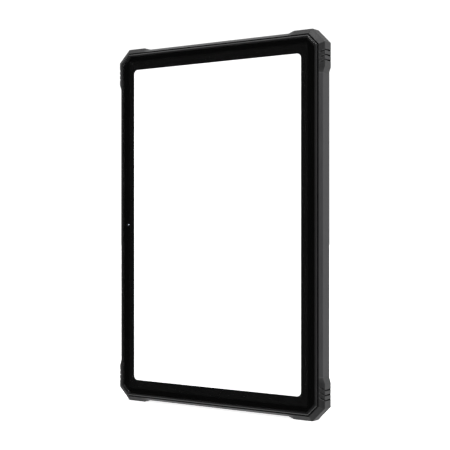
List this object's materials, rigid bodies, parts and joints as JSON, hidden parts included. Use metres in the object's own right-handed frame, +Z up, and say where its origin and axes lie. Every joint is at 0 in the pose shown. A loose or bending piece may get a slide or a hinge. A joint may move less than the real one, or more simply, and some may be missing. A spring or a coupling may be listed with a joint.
{
  "type": "rugged tablet data collector",
  "caption": "Rugged field data collector: flat tablet with a black-bordered touch screen, bevelled case and proud octagonal corner bumpers with grip grooves.",
  "frame": {"origin": "on the ground, under the middle of the case's width and thickness, with the device standing in portrait on its two bottom bumpers", "axes": "+X to the right seen from the front, -Y is the way the screen faces, +Z is up along the long side"},
  "size_m": [0.166, 0.0146, 0.2473],
  "materials": {
    "cover_glass": "glossy, black printed border on its back",
    "foam_tape": "matte",
    "display": "lit white",
    "backlight": "satin",
    "frame_alloy": "satin black",
    "silicone": "matte",
    "chassis_alloy": "cast, satin",
    "case_plastic": "fine moulded texture",
    "bumper_rubber": "matte",
    "screw_steel": "blackened",
    "brass": "turned",
    "key_plastic": "satin",
    "plated_steel": "tin plated",
    "flex_film": "polyimide film",
    "module_plastic": "moulded",
    "circuit_board": "solder mask",
    "bezel_alloy": "anodised black",
    "lens_glass": "coated",
    "clear_plastic": "frosted",
    "chip_resin": "moulded",
    "silicone_pad": "soft",
    "graphite": "satin sheet",
    "battery_wrap": "film wrapped",
    "mesh_fabric": "fine woven",
    "motor_weight": "sintered",
    "ceramic": "fired ceramic"
  },
  "bodies": {
    "case": {"front_glass": "cover_glass", "glass_adhesive": "foam_tape", "display_panel": "display", "display_backlight": "backlight", "front_frame": "frame_alloy", "case_gasket": "silicone", "chassis": "chassis_alloy", "rear_case": "case_plastic", "bumper_top_right": "bumper_rubber", "bumper_bottom_right": "bumper_rubber", "bumper_top_left": "bumper_rubber", "bumper_bottom_left": "bumper_rubber", "case_screws": "screw_steel", "bumper_screws": "screw_steel", "board_screws": "screw_steel", "accessory_inserts": "brass", "key_switches": "plated_steel", "side_key_flex": "flex_film", "key_bracket": "plated_steel", "port_flap_pin": "plated_steel", "usb_c_port": "plated_steel", "audio_jack": "module_plastic", "port_board": "circuit_board", "card_reader": "plated_steel", "front_camera": "module_plastic", "rear_camera": "module_plastic", "rear_camera_bezel": "bezel_alloy", "rear_camera_window": "lens_glass", "flash_lens": "clear_plastic", "main_board": "circuit_board", "processor_shield": "plated_steel", "radio_shield": "plated_steel", "processor": "chip_resin", "memory_chips": "chip_resin", "thermal_pad": "silicone_pad", "heat_spreader": "graphite", "battery": "battery_wrap", "battery_tapes": "foam_tape", "battery_lead": "flex_film", "display_flex": "flex_film", "port_flex": "flex_film", "speaker_left": "module_plastic", "speaker_right": "module_plastic", "speaker_mesh": "mesh_fabric", "lower_board": "circuit_board", "microphones": "plated_steel", "vibration_motor_can": "plated_steel", "gnss_antenna": "ceramic", "wireless_antenna": "flex_film", "cellular_antenna": "flex_film"},
    "power_key": {"power_key": "key_plastic"},
    "volume_rocker": {"volume_rocker": "key_plastic"},
    "port_flap": {"port_flap": "bumper_rubber"},
    "card_tray": {"card_tray": "key_plastic", "card_tray_seal": "silicone"},
    "motor_weight": {"vibration_motor_weight": "motor_weight"}
  },
  "joints": [
    {"name": "power_key_press", "type": "slide", "parent": "case", "child": "power_key", "axis": [1, 0, 0], "range_m": [0, 0.0004], "stiffness_N_per_m": 4000, "springref_m": -0.0002},
    {"name": "volume_rocker_tilt", "type": "hinge", "parent": "case", "child": "volume_rocker", "pos_m": [-0.0795, 0.00035, 0.17163], "axis": [0, 1, 0], "range_deg": [-2, 2], "stiffness_Nm_per_rad": 0.2},
    {"name": "port_flap_hinge", "type": "hinge", "parent": "case", "child": "port_flap", "pos_m": [-0.0158, 0.00035, 0.24491], "axis": [0, -1, 0], "range_deg": [0, 100]},
    {"name": "card_tray_slide", "type": "slide", "parent": "case", "child": "card_tray", "axis": [-1, 0, 0], "range_m": [0, 0.03]},
    {"name": "vibration_motor_spin", "type": "hinge", "parent": "case", "child": "motor_weight", "pos_m": [0.067, -0.00055, 0.05363], "axis": [0, 1, 0], "continuous": true}
  ]
}
